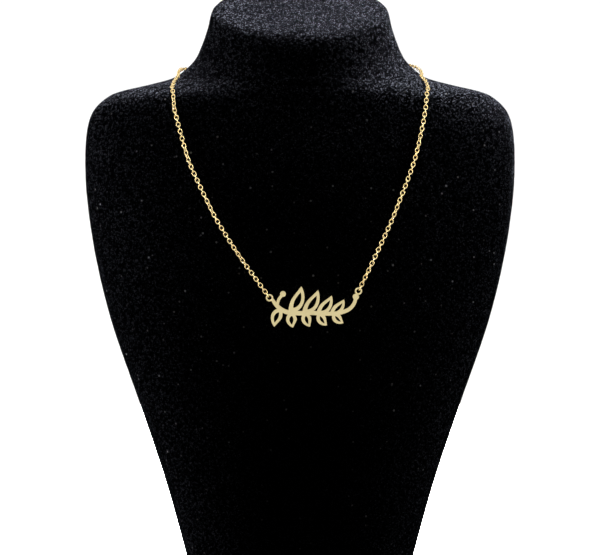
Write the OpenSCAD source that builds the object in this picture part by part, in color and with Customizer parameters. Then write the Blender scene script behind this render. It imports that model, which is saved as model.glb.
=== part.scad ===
// Nameplate necklace on a plain neck bust, in millimetres.
// Origin at the centre of the flat base, -Y is the front, +Z is up.

/* [Bust] */
// height that the bust's section heights are shares of
bust_height = 282; // [240:1:320]
// width across the shoulders
bust_width = 192.4; // [160:0.1:230]
// depth that the front and back reaches are shares of
bust_depth = 84; // [60:1:110]
// facets around each section
bust_around = 60; // [24:4:72]
// sections between two rows of the table
bust_steps = 2; // [1:1:4]

/* [Chain] */
// width of a link's opening
link_gap_width = 1.3; // [1.05:0.05:2]
// length of a link's opening
link_gap_length = 1.85; // [1.7:0.05:2.6]
// wire of a link, across its long sides
link_wire = 0.32; // [0.3:0.02:0.48]
// wire of a link, off its plane
link_thick = 0.38; // [0.3:0.02:0.6]
// room left between two rings that hang in each other
ring_room = 0.15; // [0.1:0.01:0.3]
// room between the chain and the velvet
velvet_room = 0.4; // [0.2:0.05:1]

/* [Rings] */
// wire of a jump ring
jump_wire = 0.55; // [0.4:0.05:0.8]
// spare width inside a jump ring, past what it holds
jump_play = 0.05; // [0:0.05:0.6]
// wire of an eyelet on the plate
eyelet_wire = 0.8; // [0.6:0.05:1]
// middle radius of the clasp's round body
clasp_radius = 2.55; // [2:0.05:4]
// wire of the clasp's round body
clasp_wire = 0.9; // [0.7:0.05:1.2]
// wire of the clasp's soldered eye
clasp_eye_wire = 0.6; // [0.5:0.05:0.8]
// width of the clasp's thumb nub
nub_width = 1.1; // [0.8:0.1:1.6]
// reach of the thumb nub from the middle of the clasp's wire
nub_reach = 1.3; // [0.8:0.1:2]

/* [Plate] */
// distance between the middles of the two eyelets
plate_span = 38.6; // [30:0.1:50]
// sheet thickness
plate_thick = 1.2; // [0.8:0.1:2]
// rise from the left eyelet to the right one, in degrees
plate_tilt = 4.2; // [-10:0.1:10]
// room between the velvet and the plate's back
plate_room = 0.5; // [0.1:0.05:2]
// width of the branch where it is thickest
stem_width = 1.9; // [1.2:0.1:2.4]
// metal left beside a leaf's opening
leaf_rim = 1.2; // [0.7:0.05:1.4]
// width of the bud below the right eyelet
stem_bud = 2.7; // [2.4:0.1:3.4]
// width of the bud on the stalk
stalk_bud = 2.5; // [1.8:0.1:3.4]

/* [Hidden] */
$fn = 48;
gold = [0.86, 0.72, 0.42];
velvet = [0.03, 0.03, 0.035];

// Each row: height, half width, front reach, back reach, middle, all as shares of the bust's sizes,
// then the lean of the section (rise per depth) and the power of its outline.
bust_rows = [
  [0.000, 0.460, -0.390, 0.370, -0.010, 0.00, 2.20],
  [0.012, 0.475, -0.410, 0.380, -0.010, 0.00, 2.20],
  [0.090, 0.535, -0.440, 0.395, -0.010, 0.00, 2.20],
  [0.210, 0.630, -0.495, 0.410, -0.025, 0.00, 2.25],
  [0.335, 0.750, -0.535, 0.425, -0.025, 0.00, 2.30],
  [0.460, 0.875, -0.560, 0.430, -0.025, 0.00, 2.30],
  [0.565, 0.950, -0.555, 0.435, -0.025, 0.00, 2.30],
  [0.655, 0.990, -0.525, 0.440, -0.010, 0.00, 2.30],
  [0.720, 1.000, -0.480, 0.440, 0.000, 0.00, 2.30],
  [0.770, 0.990, -0.430, 0.440, 0.000, 0.00, 2.30],
  [0.800, 0.960, -0.400, 0.435, 0.010, 0.00, 2.25],
  [0.820, 0.900, -0.380, 0.430, 0.010, 0.00, 2.20],
  [0.830, 0.835, -0.370, 0.430, 0.025, 0.00, 2.15],
  [0.840, 0.710, -0.360, 0.430, 0.035, 0.01, 2.10],
  [0.850, 0.600, -0.355, 0.430, 0.050, 0.03, 2.05],
  [0.860, 0.550, -0.350, 0.435, 0.055, 0.07, 2.00],
  [0.880, 0.490, -0.340, 0.440, 0.060, 0.14, 2.00],
  [0.905, 0.455, -0.330, 0.450, 0.070, 0.23, 2.00],
  [0.930, 0.430, -0.320, 0.450, 0.075, 0.32, 2.00],
  [0.945, 0.420, -0.310, 0.450, 0.075, 0.38, 2.00],
  [0.955, 0.410, -0.295, 0.440, 0.075, 0.40, 2.00],
  [0.960, 0.390, -0.270, 0.420, 0.075, 0.40, 2.00],
  [0.962, 0.365, -0.240, 0.395, 0.075, 0.40, 2.00]
];

// The way of the chain over the bust, from the left eyelet round the back to the right eyelet.
// Each row: place in the section table and turn from the front, in degrees.
chain_rows = [
  [5.5, -6.5], [6, -12], [6.5, -17], [7, -21], [8, -26.5], [9, -30], [10, -33.5],
  [11, -37.5], [12, -42.5], [13, -53.5], [14, -69], [14.6, -79], [15, -93], [15, -120], [15.5, -150],
  [16, -180], [15.5, -210], [15.3, -240], [15.2, -262], [14.6, -281], [14, -291.5], [13, -306.5],
  [12, -317.5], [11, -322.5], [10, -326.5], [9, -329.5], [8, -332.5], [7, -337], [6.5, -340],
  [6, -343.5], [5.6, -346.5]
];
// the chain row that lies at the clasp
clasp_row = 15;

// The links turn to and fro about the chain: how far they are turned to face the front, and for the
// left and the right side how far they then turn away, where they first face the front and the
// length of chain from there to the next such place. A higher power makes the turn away shorter.
link_face = 9;
link_swing = [36, 26];
swing_start = [10, 22];
swing_length = [25, 33];
swing_power = 2;
// length at each end of a side over which the links come to lie flat
flat_length = 10;

// place in the section table and turn from the front, midway between the eyelets
plate_place = [5.56, 2.6];

// The plate's branch and its buds, in hundredths of the plate's span from the left eyelet.
// Each row: across, up, then the width as a share of the branch's greatest width.
stem_rows = [
  [3.4, -2.6, 0.7], [8.0, -10.0, 0.9], [17.3, -17.0, 1], [31.0, -19.6, 1], [46.0, -20.4, 0.95],
  [61.0, -22.4, 0.9], [75.5, -22.8, 0.9], [87.6, -19.6, 0.85], [94.2, -13.2, 0.8], [96.6, -6.0, 0.75]
];
stalk_rows = [[8.0, -10.0, 0.65], [10.0, -3.0, 0.65], [15.4, 3.2, 0.65]];

// Each leaf, in hundredths of the span: foot across, foot up, tip across, tip up, width.
leaf_rows = [
  [21.0, -17.8, 36.6, 10.2, 12.8],
  [36.1, -19.8, 55.0, 4.6, 12.0],
  [52.0, -21.4, 69.8, -2.8, 10.8],
  [67.0, -22.8, 83.2, -8.0, 9.8],
  [12.4, -13.8, 3.0, -32.6, 11.0],
  [24.8, -18.8, 23.8, -35.2, 10.8],
  [39.6, -19.8, 43.0, -35.6, 10.0],
  [54.5, -21.4, 62.0, -35.6, 9.5],
  [70.8, -22.8, 80.6, -34.4, 9.0]
];
// how far a leaf's middle bows out, as a share of its length
leaf_bow = -0.1;
// where a leaf's opening starts and ends along it
leaf_open = [0.2, 0.8];

function unit(v) = v / norm(v);
function spow(v, p) = sign(v) * pow(abs(v), p);
function cubic(a, b, c, d, f) =
  b + (c - a) * f / 2 + (2 * a - 5 * b + 4 * c - d) * f * f / 2
  + (3 * b - a - 3 * c + d) * f * f * f / 2;
// a smooth row of a table at place t, which may lie between two rows
function row_at(rows, t) =
  let (last = len(rows) - 1, i = max(min(floor(t), last - 1), 0))
  cubic(rows[max(i - 1, 0)], rows[i], rows[i + 1], rows[min(i + 2, last)], t - i);

// the point of the bust's skin at a place in the table and a turn from the front
function bust_point(t, turn) =
  let (
    r = row_at(bust_rows, t),
    c = spow(cos(turn), 2 / r[6]),
    s = spow(sin(turn), 2 / r[6]),
    reach = c > 0 ? (r[2] - r[4]) * c : (r[4] - r[3]) * c
  )
  [bust_width / 2 * r[1] * s, bust_depth * (r[4] + reach), bust_height * r[0] + bust_depth * r[5] * reach];
// how far to each side of a point the skin's slope is taken, in turn and in place
look_turn = 0.5;
look_place = 0.02;
function bust_normal(t, turn) =
  unit(cross(bust_point(t, turn + look_turn) - bust_point(t, turn - look_turn),
             bust_point(t + look_place, turn) - bust_point(t - look_place, turn)));

// What hangs in a ring sets the ring's opening. Openings are half widths.
link_stretch = link_gap_length / link_gap_width;
link_open = link_gap_length / 2;
link_end = link_wire * link_stretch;
held_wire = max(eyelet_wire, clasp_wire, clasp_eye_wire);
jump_open = (held_wire + link_end + 3 * ring_room + jump_play) / 2;
jump_radius = jump_open + jump_wire / 2;
eyelet_open = jump_wire + 2 * ring_room;
eyelet_radius = eyelet_open + eyelet_wire / 2;
clasp_open = clasp_radius - clasp_wire / 2;
clasp_eye_open = jump_wire + ring_room;
clasp_eye_radius = clasp_eye_open + clasp_eye_wire / 2;

bust_last = len(bust_rows) - 1;
bust_rings = bust_last * bust_steps;

module bust() {
  ring_points = [
    for (k = [0:bust_rings], j = [0:bust_around - 1]) bust_point(k / bust_steps, 360 * j / bust_around)
  ];
  last = row_at(bust_rows, bust_last);
  foot = len(ring_points);
  ends = [
    [0, 0, 0],
    [0, bust_depth * (last[2] + last[3]) / 2,
     bust_height * last[0] + bust_depth * last[5] * ((last[2] + last[3]) / 2 - last[4])]
  ];
  walls = [
    for (k = [0:bust_rings - 1], j = [0:bust_around - 1])
      let (
        a = k * bust_around + j, b = k * bust_around + (j + 1) % bust_around,
        c = a + bust_around, d = b + bust_around
      )
      each [[a, c, b], [b, c, d]]
  ];
  caps = [
    for (j = [0:bust_around - 1])
      let (a = j, b = (j + 1) % bust_around, top = bust_rings * bust_around)
      each [[foot, a, b], [foot + 1, top + b, top + a]]
  ];
  color(velvet) polyhedron(concat(ring_points, ends), concat(walls, caps));
}

// the plate's own frame: its origin is midway between the eyelets, in the sheet's middle
plate_out = bust_normal(plate_place[0], plate_place[1]);
plate_level = unit(cross([0, 0, 1], plate_out));
plate_rise = cross(plate_out, plate_level);
plate_across = cos(plate_tilt) * plate_level + sin(plate_tilt) * plate_rise;
plate_middle =
  bust_point(plate_place[0], plate_place[1]) + plate_out * (plate_room + plate_thick / 2);
eyelet_left = plate_middle - plate_across * plate_span / 2;
eyelet_right = plate_middle + plate_across * plate_span / 2;

// how far to each side of a point, in rows, a stroke's direction is taken
look_row = 0.05;
// an edge point of a stroke, on one side of its smooth middle line
function stroke_edge(rows, t, side) =
  let (
    r = row_at(rows, t),
    d = row_at(rows, min(t + look_row, len(rows) - 1)) - row_at(rows, max(t - look_row, 0)),
    e = unit([d[0], d[1]])
  )
  [r[0], r[1]] * plate_span / 100 + side * stem_width * r[2] / 2 * [-e[1], e[0]];

stroke_steps = 6;

module stroke(rows, first_ball, last_ball) {
  last = len(rows) - 1;
  count = last * stroke_steps;
  polygon(concat(
    [for (k = [0:count]) stroke_edge(rows, k / stroke_steps, 1)],
    [for (k = [count:-1:0]) stroke_edge(rows, k / stroke_steps, -1)]
  ));
  translate([rows[0][0], rows[0][1]] * plate_span / 100) circle(d = first_ball);
  translate([rows[last][0], rows[last][1]] * plate_span / 100) circle(d = last_ball);
}

// a leaf's half width along it, as a share of its greatest one, fuller towards the foot
leaf_full = 0.85;
function belly(s) = s <= 0 || s >= 1 ? 0 : pow(sin(180 * pow(s, leaf_full)), leaf_full);
// a point beside a leaf's bowed middle line, at share s of its length
function leaf_point(foot, tip, s, off) =
  let (d = tip - foot, n = leaf_bow * [-d[1], d[0]], u = unit(d + n * 4 * (1 - 2 * s)))
  foot + d * s + n * 4 * s * (1 - s) + off * [-u[1], u[0]];

leaf_steps = 22;
leaf_foot = 0.4;

module leaf(row) {
  foot = [row[0], row[1]] * plate_span / 100;
  tip = [row[2], row[3]] * plate_span / 100;
  full = row[4] * plate_span / 200;
  hole = full - leaf_rim;
  from = leaf_open[0];
  long = leaf_open[1] - leaf_open[0];
  difference() {
    polygon([
      for (k = [0:2 * leaf_steps - 1])
        let (side = k < leaf_steps ? 1 : -1, q = side > 0 ? k / leaf_steps : 2 - k / leaf_steps)
        leaf_point(foot, tip, q, side * (full * belly(q) + leaf_foot * (1 - q)))
    ]);
    polygon([
      for (k = [0:2 * leaf_steps - 1])
        let (side = k < leaf_steps ? 1 : -1, q = side > 0 ? k / leaf_steps : 2 - k / leaf_steps)
        leaf_point(foot, tip, from + long * q, side * hole * belly(q))
    ]);
  }
}

module ring(radius, wire) {
  rotate_extrude() translate([radius, 0]) circle(d = wire);
}

// puts what follows at a place, with its long way along t and its flat side facing w
module placed(at, t, w) {
  u = cross(w, t);
  multmatrix([
    [t[0], u[0], w[0], at[0]], [t[1], u[1], w[1], at[1]], [t[2], u[2], w[2], at[2]], [0, 0, 0, 1]
  ]) children();
}

module branch() {
  stroke(stem_rows, stem_width * stem_rows[0][2], stem_bud);
  stroke(stalk_rows, stem_width * stalk_rows[0][2], stalk_bud);
  for (row = leaf_rows) leaf(row);
}

module nameplate() {
  color(gold) placed(plate_middle, plate_across, plate_out) {
    translate([-plate_span / 2, 0, 0]) {
      linear_extrude(plate_thick, center = true) {
        difference() {
          branch();
          for (x = [0, plate_span]) translate([x, 0]) circle(r = eyelet_radius);
        }
      }
      for (x = [0, plate_span]) translate([x, 0, 0]) ring(eyelet_radius, eyelet_wire);
    }
  }
}

// the clasp's frame at the back of the neck
clasp_place = chain_rows[clasp_row];
clasp_out = bust_normal(clasp_place[0], clasp_place[1]);
clasp_across = unit(cross(clasp_out, [0, 0, 1]));
clasp_lift = jump_radius + jump_wire / 2 + velvet_room;
clasp_middle = bust_point(clasp_place[0], clasp_place[1]) + clasp_out * clasp_lift;
clasp_overlap = 0.3;
clasp_reach =
  clasp_radius + clasp_wire / 2 + clasp_eye_radius + clasp_eye_wire / 2 - clasp_overlap;
clasp_eye = clasp_middle - clasp_across * clasp_reach;
nub_turn = 50;

// a plain round spring clasp, closed, with a thumb nub
module clasp() {
  color(gold) placed(clasp_middle, clasp_across, clasp_out) {
    ring(clasp_radius, clasp_wire);
    translate([-clasp_reach, 0, 0]) ring(clasp_eye_radius, clasp_eye_wire);
    rotate([0, 0, nub_turn]) translate([clasp_radius, 0, 0])
      rotate([0, 90, 0]) cylinder(d = nub_width, h = nub_reach);
  }
}

// the chain's smooth way, as points a short step apart
way_count = 420;
chain_lift = link_gap_width / 2 + link_wire + velvet_room;
way_last = len(chain_rows) - 1;
function way_rows(from, to) =
  [for (k = [0:way_count]) row_at(chain_rows, from + (to - from) * k / way_count)];
function way_points(rows) =
  [for (r = rows) bust_point(r[0], r[1]) + chain_lift * bust_normal(r[0], r[1])];
function way_lengths(points) = [
  for (i = 0, s = 0; i < len(points);
       i = i + 1, s = s + (i < len(points) ? norm(points[i] - points[i - 1]) : 0)) s
];
left_rows = way_rows(0, clasp_row);
left_points = way_points(left_rows);
left_lengths = way_lengths(left_points);
left_table = [for (k = [0:way_count]) [left_lengths[k], k]];
right_rows = way_rows(way_last, clasp_row);
right_points = way_points(right_rows);
right_lengths = way_lengths(right_points);
right_table = [for (k = [0:way_count]) [right_lengths[k], k]];

function between(list, k) =
  let (i = max(min(floor(k), len(list) - 2), 0)) list[i] + (list[i + 1] - list[i]) * (k - i);
function smooth(f) = let (g = max(min(f, 1), 0)) g * g * (3 - 2 * g);

left_way = left_lengths[way_count] - clasp_reach;
right_way = right_lengths[way_count];
// how far along the chain its ends are drawn over to the rings that hold it
way_fade = 30;

// a point of one side's chain, s along it from the eyelet
function side_point(points, table, way, start, stop, s) =
  between(points, lookup(s, table))
  + (start - points[0]) * smooth(1 - s / way_fade)
  + (stop - between(points, lookup(way, table))) * smooth(1 - (way - s) / way_fade);
function left_at(s) = side_point(left_points, left_table, left_way, eyelet_left, clasp_eye, s);
function right_at(s) = side_point(right_points, right_table, right_way, eyelet_right, clasp_middle, s);

// side -1 is the left chain, 1 the right one
function chain_at(side, s) = side < 0 ? left_at(s) : right_at(s);
function chain_row(side, s) =
  side < 0 ? between(left_rows, lookup(s, left_table)) : between(right_rows, lookup(s, right_table));
// how far before and after a ring the chain's direction is taken
look_step = 0.7;

function link_turn(side, s) =
  let (
    k = side < 0 ? 0 : 1,
    away = (1 - cos(360 * (s - swing_start[k]) / swing_length[k])) / 2,
    swing = link_swing[k] * pow(away, swing_power),
    way = side < 0 ? left_way : right_way
  )
  side * (link_face - swing) * smooth(s / flat_length) * smooth((way - s) / flat_length);

// hangs a ring at s along one side's chain, rolled about the chain
module hung(side, s, roll) {
  t = unit(chain_at(side, s + look_step) - chain_at(side, s - look_step));
  row = chain_row(side, s);
  beside = unit(cross(bust_normal(row[0], row[1]), t));
  facing = cross(t, beside);
  turn = roll + link_turn(side, s);
  placed(chain_at(side, s), t, cos(turn) * facing + sin(turn) * beside) children();
}

module link() {
  scale([link_stretch, 1, link_thick / link_wire]) ring((link_gap_width + link_wire) / 2, link_wire);
}

// where the rings hang along the chain
jump_at = eyelet_open + jump_open - ring_room;
link_at = jump_at + jump_open + link_open - ring_room;
link_pitch = 2 * link_open - ring_room;
left_jump = left_way - (clasp_eye_open + jump_open - ring_room);
right_jump = right_way - (clasp_open + jump_open - ring_room);

// one side's links, an odd count, so that the last one lies as the first one does
module links(side, back_jump) {
  run = back_jump - link_at - (jump_open + link_open - ring_room);
  gaps = 2 * ceil(run / link_pitch / 2);
  for (i = [0:gaps]) hung(side, link_at + run * i / gaps, 90 * (i % 2)) link();
}

module chain() {
  color(gold) {
    links(-1, left_jump);
    links(1, right_jump);
  }
}

module jump_ring_left() { color(gold) hung(-1, jump_at, 90) ring(jump_radius, jump_wire); }
module jump_ring_right() { color(gold) hung(1, jump_at, 90) ring(jump_radius, jump_wire); }
module jump_ring_back_left() { color(gold) hung(-1, left_jump, 90) ring(jump_radius, jump_wire); }
module jump_ring_back_right() { color(gold) hung(1, right_jump, 90) ring(jump_radius, jump_wire); }

bust();
nameplate();
jump_ring_left();
jump_ring_right();
chain();
jump_ring_back_left();
jump_ring_back_right();
clasp();
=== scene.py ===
"""Looks for a necklace with a pierced plate on a plain velvet neck bust.

Metres, Z up, -Y the front. The bust gets a velvet cover and a felt pad under its base. The rest keeps
its CAD mesh, with gold materials.
"""

import math

import bpy
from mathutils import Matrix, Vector, noise


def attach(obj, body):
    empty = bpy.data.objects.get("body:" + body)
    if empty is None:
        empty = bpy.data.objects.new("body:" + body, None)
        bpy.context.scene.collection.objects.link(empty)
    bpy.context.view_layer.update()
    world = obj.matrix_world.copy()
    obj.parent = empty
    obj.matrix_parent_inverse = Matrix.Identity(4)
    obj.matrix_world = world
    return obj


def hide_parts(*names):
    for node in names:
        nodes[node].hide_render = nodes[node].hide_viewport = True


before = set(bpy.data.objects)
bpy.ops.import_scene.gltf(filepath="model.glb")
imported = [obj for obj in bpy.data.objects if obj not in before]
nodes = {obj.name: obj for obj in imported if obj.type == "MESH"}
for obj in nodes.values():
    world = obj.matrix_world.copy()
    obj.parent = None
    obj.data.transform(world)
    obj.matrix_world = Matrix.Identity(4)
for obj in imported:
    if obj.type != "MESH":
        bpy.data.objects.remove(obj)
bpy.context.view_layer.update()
scene = bpy.context.scene

MM = 0.001

# Camera: the point it looks at and its distance from there in mm, and how far it looks down in degrees.
AIM = (0, 0, 150.5)
DISTANCE = 1230
LIFT = 4.5
LENS = 164.0
SENSOR = 36


def camera():
    cam = bpy.data.cameras.new("camera")
    cam.sensor_fit = "HORIZONTAL"
    cam.sensor_width = SENSOR
    cam.lens = LENS
    cam.clip_start = 0.05
    cam.clip_end = 30
    obj = bpy.data.objects.new("camera", cam)
    scene.collection.objects.link(obj)
    lift = math.radians(LIFT)
    look = Vector((0, math.cos(lift), -math.sin(lift)))
    obj.location = Vector(AIM) * MM - look * (DISTANCE * MM)
    obj.rotation_euler = look.to_track_quat("-Z", "Y").to_euler()
    return obj


scene.camera = camera()

# the Mix node's sockets that carry colours
MIX_UNDER, MIX_OVER, MIX_OUT = 6, 7, 2


def material(name):
    mat = bpy.data.materials.new(name)
    mat.use_nodes = True
    tree = mat.node_tree
    return mat, tree, tree.nodes["Principled BSDF"]


def fix(n, **inputs):
    """Sets inputs of a node to constant values. A blank in an input's name is written as _."""
    for key, value in inputs.items():
        n.inputs[key.replace("_", " ")].default_value = value
    return n


def node(tree, kind, **inputs):
    return fix(tree.nodes.new(kind), **inputs)


def coords(tree, kind="Object"):
    return tree.nodes.new("ShaderNodeTexCoord").outputs[kind]


def axis(tree, place, name):
    """One coordinate of a place."""
    n = tree.nodes.new("ShaderNodeSeparateXYZ")
    tree.links.new(place, n.inputs["Vector"])
    return n.outputs[name]


def grey(v):
    return (v, v, v)


def ramp(tree, value, stops):
    n = tree.nodes.new("ShaderNodeValToRGB")
    marks = n.color_ramp.elements
    while len(marks) < len(stops):
        marks.new(0.5)
    for mark, (at, colour) in zip(marks, stops):
        mark.position = at
        mark.color = (*colour, 1)
    tree.links.new(value, n.inputs["Fac"])
    return n.outputs["Color"]


def calc(tree, operation, a, b):
    n = tree.nodes.new("ShaderNodeMath")
    n.operation = operation
    for value, socket in zip((a, b), n.inputs):
        if isinstance(value, float):
            socket.default_value = value
        else:
            tree.links.new(value, socket)
    return n.outputs[0]


def product(tree, a, b):
    return calc(tree, "MULTIPLY", a, b)


def noise_at(tree, place, scale, detail, rough):
    n = node(tree, "ShaderNodeTexNoise", Scale=scale, Detail=detail, Roughness=rough)
    tree.links.new(place, n.inputs["Vector"])
    return n.outputs["Fac"]


def cells(tree, place, scale):
    """Random cells: the distance from a cell's middle, and three random values of each cell."""
    n = node(tree, "ShaderNodeTexVoronoi", Scale=scale, Randomness=1.0)
    tree.links.new(place, n.inputs["Vector"])
    split = tree.nodes.new("ShaderNodeSeparateColor")
    tree.links.new(n.outputs["Color"], split.inputs["Color"])
    return n.outputs["Distance"], split.outputs


def specks(tree, place, scale, size, share):
    """Round grains in a share of the cells of a fine pattern, 1 in the grain and 0 outside."""
    distance, chance = cells(tree, place, scale)
    near = ramp(tree, distance, [(size * 0.4, grey(1)), (size, grey(0))])
    few = ramp(tree, chance["Red"], [(1 - share, grey(0)), (1.0, grey(1))])
    return product(tree, near, few)


def tuft(tree, place, scale, power):
    """A random brightness for each small tuft of the pile. A higher power leaves more of them dark."""
    chance = cells(tree, place, scale)[1]
    return calc(tree, "POWER", chance["Green"], power)


def blend(tree, share, under, over):
    """Lays one colour over another by a share."""
    n = tree.nodes.new("ShaderNodeMix")
    n.data_type = "RGBA"
    tree.links.new(share, n.inputs["Factor"])
    tree.links.new(under, n.inputs[MIX_UNDER])
    n.inputs[MIX_OVER].default_value = (*over, 1)
    return n.outputs[MIX_OUT]


def bump(tree, bsdf, height, strength, distance):
    n = node(tree, "ShaderNodeBump", Strength=strength, Distance=distance)
    tree.links.new(height, n.inputs["Height"])
    tree.links.new(n.outputs["Normal"], bsdf.inputs["Normal"])


PILE_DARK = (0.0003, 0.0003, 0.0004)
PILE_LIT = (0.042, 0.0445, 0.0550)
TUFTS = 2200.0
TUFT_POWER = 8.0
PILE_SHEEN = 0.12
# how much of the lint shows, by height in quarters of a metre: most round the chest, least on the
# brushed shoulders and neck
QUARTERS = 4.0
LINT_HEIGHT = [(0.3, grey(0.3)), (0.6, grey(0.9)), (0.7, grey(1)), (0.88, grey(0.2)), (0.96, grey(0.02))]
# and by depth, as a share from the front: the back is kept cleaner
LINT_DEPTH = [(0.4, grey(1)), (0.65, grey(0.08))]
# small and large grains: cells a metre, size and share of the cells, then their colour
DUST = (420.0, 0.22, 0.10), (0.45, 0.45, 0.47)
LINT = (170.0, 0.1, 0.30), (0.9, 0.9, 0.92)


def velvet():
    """Black velvet: a dark pile that catches light in tufts, with a little dust and lint."""
    mat, tree, bsdf = material("velvet")
    place = coords(tree)
    # the nap lies a little differently from patch to patch
    patch = ramp(tree, noise_at(tree, place, 45, 3, 0.6), [(0.3, grey(0.7)), (0.7, grey(1))])
    pile = product(tree, patch, tuft(tree, place, TUFTS, TUFT_POWER))
    height = product(tree, axis(tree, place, "Z"), QUARTERS)
    depth = axis(tree, coords(tree, "Generated"), "Y")
    share = product(tree, ramp(tree, height, LINT_HEIGHT), ramp(tree, depth, LINT_DEPTH))
    colour = ramp(tree, pile, [(0.0, PILE_DARK), (1.0, PILE_LIT)])
    for grains, tone in (DUST, LINT):
        colour = blend(tree, product(tree, share, specks(tree, place, *grains)), colour, tone)
    tree.links.new(colour, bsdf.inputs["Base Color"])
    fix(bsdf, Roughness=0.95, Specular_IOR_Level=0.0, Sheen_Roughness=0.3)
    fix(bsdf, Sheen_Tint=(0.80, 0.85, 1.0, 1))
    tree.links.new(product(tree, pile, PILE_SHEEN), bsdf.inputs["Sheen Weight"])
    bump(tree, bsdf, pile, 0.5, 0.0003)
    return mat


def gold(name, colour, deep, rough, grain, depth):
    """Gold with a slightly uneven tone and a fine surface grain of so many waves a metre."""
    mat, tree, bsdf = material(name)
    place = coords(tree)
    tone = ramp(tree, noise_at(tree, place, 170, 3, 0.55), [(0.3, deep), (0.7, colour)])
    tree.links.new(tone, bsdf.inputs["Base Color"])
    spread = [(0.25, grey(rough * 0.8)), (0.75, grey(rough * 1.2))]
    tree.links.new(ramp(tree, noise_at(tree, place, 700, 2, 0.6), spread), bsdf.inputs["Roughness"])
    fix(bsdf, Metallic=1.0)
    bump(tree, bsdf, noise_at(tree, place, grain, 2, 0.6), 0.5, depth)
    return mat


def felt():
    mat, tree, bsdf = material("felt")
    fibre = noise_at(tree, coords(tree), 900, 4, 0.7)
    tree.links.new(ramp(tree, fibre, [(0.3, grey(0.006)), (0.7, grey(0.02))]), bsdf.inputs["Base Color"])
    fix(bsdf, Roughness=0.95, Specular_IOR_Level=0.1)
    bump(tree, bsdf, fibre, 0.7, 0.0004)
    return mat


VELVET = velvet()
CHAIN_GOLD = gold("gold_chain", (1.0, 0.81, 0.43), (0.96, 0.74, 0.36), 0.18, 2200, 0.00003)
PLATE_GOLD = gold("gold_plate", (0.70, 0.595, 0.325), (0.65, 0.545, 0.290), 0.36, 2600, 0.00004)
FELT = felt()

# The bust's sizes in mm and its section table, as in the CAD part. Each row: height, half width, front,
# back and middle as shares, then the section's lean and the power of its outline.
HIGH, WIDE, DEEP = 282.0, 192.4, 84.0
ROWS = [
    (0.000, 0.460, -0.390, 0.370, -0.010, 0.00, 2.20),
    (0.012, 0.475, -0.410, 0.380, -0.010, 0.00, 2.20),
    (0.090, 0.535, -0.440, 0.395, -0.010, 0.00, 2.20),
    (0.210, 0.630, -0.495, 0.410, -0.025, 0.00, 2.25),
    (0.335, 0.750, -0.535, 0.425, -0.025, 0.00, 2.30),
    (0.460, 0.875, -0.560, 0.430, -0.025, 0.00, 2.30),
    (0.565, 0.950, -0.555, 0.435, -0.025, 0.00, 2.30),
    (0.655, 0.990, -0.525, 0.440, -0.010, 0.00, 2.30),
    (0.720, 1.000, -0.480, 0.440, 0.000, 0.00, 2.30),
    (0.770, 0.990, -0.430, 0.440, 0.000, 0.00, 2.30),
    (0.800, 0.960, -0.400, 0.435, 0.010, 0.00, 2.25),
    (0.820, 0.900, -0.380, 0.430, 0.010, 0.00, 2.20),
    (0.830, 0.835, -0.370, 0.430, 0.025, 0.00, 2.15),
    (0.840, 0.710, -0.360, 0.430, 0.035, 0.01, 2.10),
    (0.850, 0.600, -0.355, 0.430, 0.050, 0.03, 2.05),
    (0.860, 0.550, -0.350, 0.435, 0.055, 0.07, 2.00),
    (0.880, 0.490, -0.340, 0.440, 0.060, 0.14, 2.00),
    (0.905, 0.455, -0.330, 0.450, 0.070, 0.23, 2.00),
    (0.930, 0.430, -0.320, 0.450, 0.075, 0.32, 2.00),
    (0.945, 0.420, -0.310, 0.450, 0.075, 0.38, 2.00),
    (0.955, 0.410, -0.295, 0.440, 0.075, 0.40, 2.00),
    (0.960, 0.390, -0.270, 0.420, 0.075, 0.40, 2.00),
    (0.962, 0.365, -0.240, 0.395, 0.075, 0.40, 2.00),
]
TOP = len(ROWS) - 1


def cubic(a, b, c, d, f):
    return b + (c - a) * f / 2 + (2 * a - 5 * b + 4 * c - d) * f * f / 2 + (3 * b - a - 3 * c + d) * f**3 / 2


def row_at(t):
    """A smooth row of the table at place t, which may lie between two rows."""
    i = max(min(int(math.floor(t)), TOP - 1), 0)
    rows = (ROWS[max(i - 1, 0)], ROWS[i], ROWS[i + 1], ROWS[min(i + 2, TOP)])
    return [cubic(*values, t - i) for values in zip(*rows)]


def spow(v, p):
    return math.copysign(abs(v) ** p, v)


def skin(t, turn, keep=1.0):
    """A point of the bust's skin in metres. keep below 1 draws it towards the section's middle."""
    height, half, front, back, middle, lean, power = row_at(t)
    c = spow(math.cos(turn), 2 / power)
    s = spow(math.sin(turn), 2 / power)
    reach = ((front - middle) * c if c > 0 else (middle - back) * c) * keep
    x = WIDE / 2 * half * s * keep
    return Vector((x, DEEP * (middle + reach), HIGH * height + DEEP * lean * reach)) * MM


def new_object(name, verts, faces, mat, smooth=True):
    mesh = bpy.data.meshes.new(name)
    mesh.from_pydata([tuple(v) for v in verts], [], faces)
    mesh.validate()
    mesh.update()
    mesh.materials.append(mat)
    if smooth:
        mesh.polygons.foreach_set("use_smooth", [True] * len(mesh.polygons))
    obj = bpy.data.objects.new(name, mesh)
    scene.collection.objects.link(obj)
    return obj


def closed(rings):
    """Faces of rings of points, each ring to the next. A ring of one point closes an end."""
    faces, start = [], 0
    for a, b in zip(rings, rings[1:]):
        n, m, nxt = len(a), len(b), start + len(a)
        for j in range(max(n, m)):
            k = (j + 1) % max(n, m)
            if n == 1:
                faces.append((start, nxt + k, nxt + j))
            elif m == 1:
                faces.append((start + j, start + k, nxt))
            else:
                faces.append((start + j, start + k, nxt + k, nxt + j))
        start = nxt
    return faces


def shell(name, rings, mat):
    return new_object(name, [p for ring in rings for p in ring], closed(rings), mat)


# points round the cover, the rise between its rings in mm, and its seam and nap in metres
AROUND = 288
RING_RISE = 1.25
SEAM_WIDE = 0.0012
SEAM_DEEP = 0.0005
NAP = 0.00007
NAP_WAVES = 260
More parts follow.
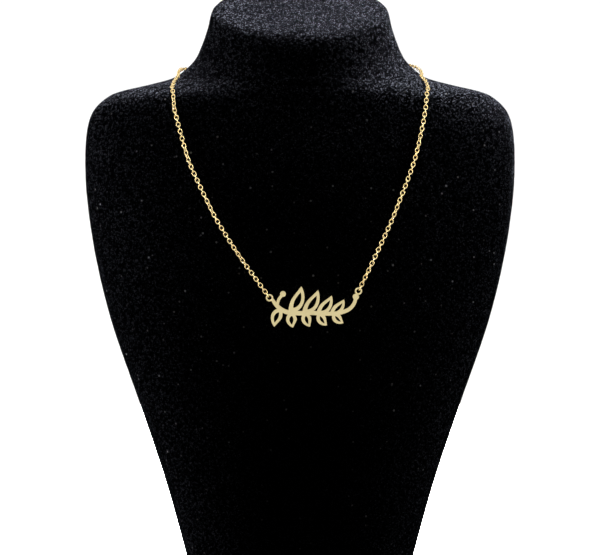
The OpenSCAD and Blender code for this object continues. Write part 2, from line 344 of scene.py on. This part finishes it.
# how much of the points' spacing stays even, the rest is drawn to the seam up the back
EVEN = 0.35
SEAM_PULL = 1.5
# the place in the table below which the velvet has neither nap nor seam, and how far inward a point is
# taken for the skin's direction
HEM = 0.02
INWARD = 0.98
# the velvet turned in under the base and over the top: share of the section kept, and height in mm
TURNED_IN = [(0.80, 0.5), (0.84, 0.05), (0.95, 0.0), (0.985, 0.0)]
TOP_KEEPS = (0.97, 0.9, 0.78, 0.62, 0.45, 0.28, 0.12)
# the felt pad's foot, and the height up to which pad and turned-in velvet reach
FELT_FOOT, INSIDE = 0.15, 0.5
# the felt pad's outline from below to above, in the same way
FELT_OUTLINE = [(0.55, 0.15), (0.785, 0.15), (0.8, 0.22), (0.8, 0.44), (0.78, 0.5), (0.55, 0.5)]


def turns():
    """Angles round the bust, closer together at the seam up the back."""
    shares = [j / AROUND - 0.5 for j in range(AROUND)]
    pulled = [math.copysign((2 * abs(f)) ** SEAM_PULL / 2, f) for f in shares]
    return [math.pi + math.tau * (EVEN * f + (1 - EVEN) * g) for f, g in zip(shares, pulled)]


TURNS = turns()


def nap(p):
    return noise.fractal(p * NAP_WAVES, 0.8, 2.2, 2) * NAP


def level(keep, z, angles):
    """A flat ring inside the bust's foot."""
    return [Vector((p.x, p.y, z * MM)) for p in (skin(0, a, keep) for a in angles)]


def dressed(t, turn):
    """A point of the velvet: the skin with its nap, and with the seam at the back."""
    p = skin(t, turn)
    if t <= HEM:
        return p
    out = (p - skin(t, turn, INWARD)).normalized()
    side = abs(p.x) if math.cos(turn) < 0 else 1
    seam = SEAM_DEEP * math.exp(-((side / (SEAM_WIDE / 2)) ** 2))
    return p + out * (nap(p) - seam)


def cover():
    places = []
    for i in range(TOP):
        rise = (row_at(i + 1)[0] - row_at(i)[0]) * HIGH
        across = abs(row_at(i + 1)[1] - row_at(i)[1]) * WIDE / 2
        count = max(2, round(math.hypot(rise, across) / RING_RISE))
        places += [i + k / count for k in range(count)]
    places.append(TOP)
    rings = [[Vector((0, 0, INSIDE)) * MM]]
    rings += [level(keep, z, TURNS) for keep, z in TURNED_IN]
    rings += [[dressed(t, a) for a in TURNS] for t in places]
    for keep in TOP_KEEPS:
        ring = [skin(TOP, a, keep) for a in TURNS]
        rings.append([p + Vector((0, 0, nap(p))) for p in ring])
    rings.append([skin(TOP, 0, 0.0)])
    return shell("velvet_cover", rings, VELVET)


velvet_cover = cover()
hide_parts("bust")
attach(velvet_cover, "root")


def base_pad():
    """The felt sheet glued under the bust, inside the turned-in velvet."""
    rings = [[Vector((0, 0, FELT_FOOT)) * MM]]
    rings += [level(keep, z, TURNS[::2]) for keep, z in FELT_OUTLINE]
    rings.append([Vector((0, 0, INSIDE)) * MM])
    return shell("base_felt", rings, FELT)


pad = base_pad()
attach(pad, "root")

for name, obj in nodes.items():
    obj.data.materials.clear()
    obj.data.materials.append({"bust": VELVET, "nameplate": PLATE_GOLD}.get(name, CHAIN_GOLD))


def soften(obj, width, segments, angle):
    """Rounds the sharp edges of a CAD node's picture by modifiers, and leaves its mesh alone."""
    weld = obj.modifiers.new("weld", "WELD")
    weld.merge_threshold = 0.000001
    bevel = obj.modifiers.new("edge", "BEVEL")
    bevel.width = width
    bevel.segments = segments
    bevel.limit_method = "ANGLE"
    bevel.angle_limit = math.radians(angle)
    bevel.harden_normals = True
    bevel.use_clamp_overlap = True


soften(nodes["nameplate"], 0.12 * MM, 2, 50)

# the floor is as bright as the ground behind it and casts no light on the bust
FLOOR_RADIUS = 0.75
FLOOR_DROP = 0.0002
FLOOR_SIDES = 96


def floor_piece():
    mat, _, bsdf = material("floor")
    fix(bsdf, Base_Color=(0.92, 0.92, 0.92, 1), Roughness=0.9)
    fix(bsdf, Emission_Color=(1, 1, 1, 1), Emission_Strength=1.0)
    angles = [math.tau * k / FLOOR_SIDES for k in range(FLOOR_SIDES)]
    edge = [(FLOOR_RADIUS * math.cos(a), FLOOR_RADIUS * math.sin(a), -FLOOR_DROP) for a in angles]
    obj = new_object("floor", edge, [tuple(range(FLOOR_SIDES))], mat, smooth=False)
    obj.visible_diffuse = False
    obj.visible_glossy = False
    return obj


floor = floor_piece()

# Each soft round lamp: name, place, aim, width in metres and power in watts. The first ones light the
# cloth alone, the others the metal alone.
CLOTH_LAMPS = [
    ("top", (0.20, 0.30, 0.85), (0, 0, 0.26), 0.35, 88),
    ("high", (0.80, 0.08, 0.80), (0.02, 0, 0.24), 0.35, 8),
    ("left", (-0.85, 0.12, 0.62), (-0.03, 0, 0.22), 0.35, 12),
    ("room", (-0.3, -2.0, 0.6), (0, 0, 0.15), 1.0, 1.0),
]
METAL_LAMPS = [
    ("box", (-1.3, -1.6, 1.0), (0, 0, 0.18), 0.5, 9),
    ("strip", (1.5, -1.2, 0.6), (0, 0, 0.18), 0.5, 7),
    ("spark", (-0.35, -1.3, 0.75), (0, -0.03, 0.18), 0.06, 1.2),
]


def lamp(name, place, aim, size, power):
    light = bpy.data.lights.new(name, "AREA")
    light.shape = "DISK"
    light.size = size
    light.energy = power
    obj = bpy.data.objects.new(name, light)
    scene.collection.objects.link(obj)
    obj.location = place
    obj.rotation_euler = (Vector(aim) - Vector(place)).to_track_quat("-Z", "Y").to_euler()
    return obj


for row in CLOTH_LAMPS:
    lamp(*row).visible_glossy = False
for row in METAL_LAMPS:
    lamp(*row).visible_diffuse = False

# the studio as the metal mirrors it, brighter towards the ceiling, and the white ground that is seen
ROOM = [(0.0, grey(0.92)), (0.4, grey(0.95)), (1.0, grey(1.7))]
GROUND = 1.05


def studio():
    world = bpy.data.worlds.new("studio")
    world.use_nodes = True
    world.cycles_visibility.diffuse = False
    tree = world.node_tree
    mirrored = tree.nodes["Background"]
    room = ramp(tree, axis(tree, coords(tree, "Generated"), "Z"), ROOM)
    tree.links.new(room, mirrored.inputs["Color"])
    seen = node(tree, "ShaderNodeBackground", Color=(1, 1, 1, 1), Strength=GROUND)
    path = tree.nodes.new("ShaderNodeLightPath")
    mix = tree.nodes.new("ShaderNodeMixShader")
    tree.links.new(path.outputs["Is Camera Ray"], mix.inputs[0])
    tree.links.new(mirrored.outputs[0], mix.inputs[1])
    tree.links.new(seen.outputs[0], mix.inputs[2])
    tree.links.new(mix.outputs[0], tree.nodes["World Output"].inputs["Surface"])
    return world


scene.world = studio()
scene.view_settings.view_transform = "Standard"
